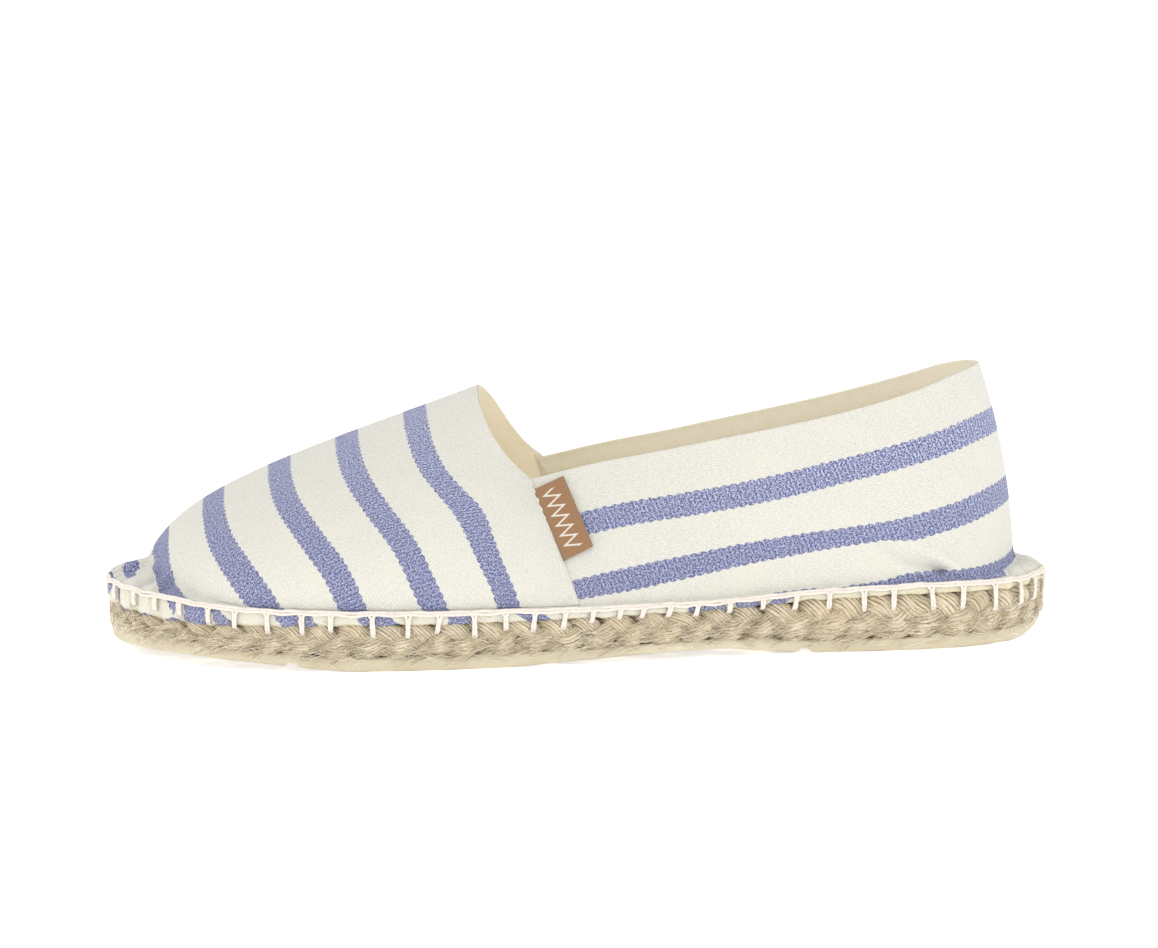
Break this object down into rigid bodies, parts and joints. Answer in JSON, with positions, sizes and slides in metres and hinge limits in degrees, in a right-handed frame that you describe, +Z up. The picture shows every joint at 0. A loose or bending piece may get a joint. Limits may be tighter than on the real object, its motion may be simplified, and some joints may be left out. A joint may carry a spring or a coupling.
{
  "type": "espadrille shoe",
  "caption": "Flat canvas slip-on for the left foot, with a braided rope sole, a hemmed and stitched edge, a side tab and a thin rubber outsole.",
  "frame": {"origin": "middle of the shoe's bounding box on the floor", "axes": "+X to the toe, +Y to the outer side of the foot, +Z up"},
  "size_m": [0.2506, 0.0906, 0.073],
  "materials": {
    "rubber": "matt beige moulded rubber",
    "jute": "dry plaited bast fibre, natural",
    "lining": "plain beige twill",
    "canvas": "natural cotton canvas with light blue woven stripes",
    "tab": "brown woven tape"
  },
  "bodies": {
    "root": {"outsole": "rubber", "rope_sole": "jute", "insole": "lining", "upper": "canvas", "side_label": "tab"}
  },
  "joints": []
}
